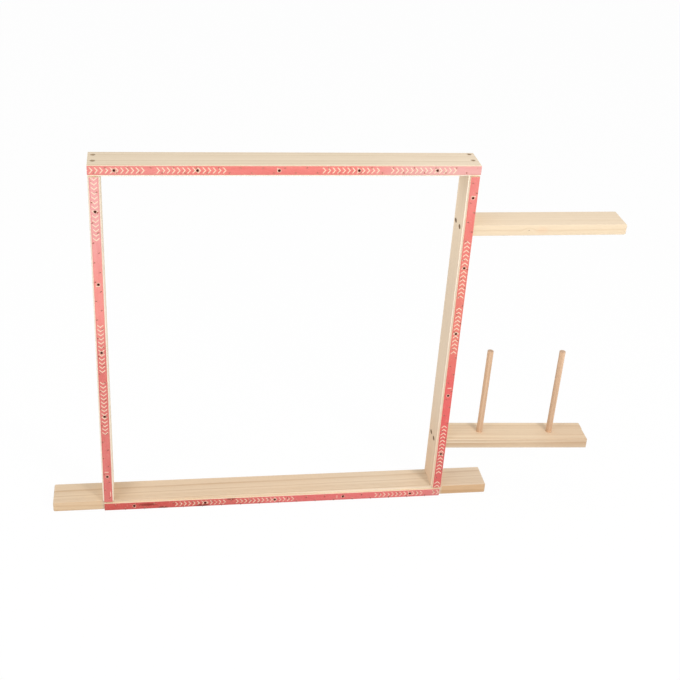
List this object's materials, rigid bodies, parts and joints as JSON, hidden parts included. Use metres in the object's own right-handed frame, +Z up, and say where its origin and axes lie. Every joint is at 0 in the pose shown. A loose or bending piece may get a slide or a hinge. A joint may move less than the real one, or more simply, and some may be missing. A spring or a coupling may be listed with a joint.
{
  "type": "tufting frame",
  "caption": "Square wooden tufting frame with pinned gripper strips on its front edges, a base board that clamps to a table, and side shelves, the lower with upright yarn pegs.",
  "frame": {"origin": "middle of the base board's underside, under the middle of the frame", "axes": "+X to the right, towards the shelves; +Y backwards, away from the gripper strips; +Z up"},
  "size_m": [1.417, 0.1043, 0.954],
  "materials": {
    "pine": "bare planed pine, eased edges",
    "dowel": "bare turned hardwood, smooth",
    "printed_plywood": "plywood with thin, worn red print on its face, bare edges, steel pins",
    "screw_steel": "yellow zinc, satin",
    "nail_steel": "dark bare steel"
  },
  "bodies": {
    "root": {"base_board": "pine", "left_stile": "pine", "right_stile": "pine", "top_rail": "pine", "upper_shelf": "pine", "lower_shelf": "pine", "inner_peg": "dowel", "outer_peg": "dowel", "gripper_top": "printed_plywood", "gripper_left": "printed_plywood", "gripper_base": "printed_plywood", "gripper_right": "printed_plywood", "screw_base_left_front": "screw_steel", "screw_base_left_back": "screw_steel", "screw_base_right_front": "screw_steel", "screw_base_right_back": "screw_steel", "screw_top_left_front": "screw_steel", "screw_top_left_back": "screw_steel", "screw_top_right_front": "screw_steel", "screw_top_right_back": "screw_steel", "screw_upper_shelf_front": "screw_steel", "screw_upper_shelf_back": "screw_steel", "screw_lower_shelf_front": "screw_steel", "screw_lower_shelf_back": "screw_steel", "nail_top_1": "nail_steel", "nail_top_2": "nail_steel", "nail_top_3": "nail_steel", "nail_top_4": "nail_steel", "nail_top_5": "nail_steel", "nail_left_1": "nail_steel", "nail_left_2": "nail_steel", "nail_left_3": "nail_steel", "nail_left_4": "nail_steel", "nail_left_5": "nail_steel", "nail_base_1": "nail_steel", "nail_base_2": "nail_steel", "nail_base_3": "nail_steel", "nail_base_4": "nail_steel", "nail_base_5": "nail_steel", "nail_right_1": "nail_steel", "nail_right_2": "nail_steel", "nail_right_3": "nail_steel", "nail_right_4": "nail_steel", "nail_right_5": "nail_steel"}
  },
  "joints": []
}
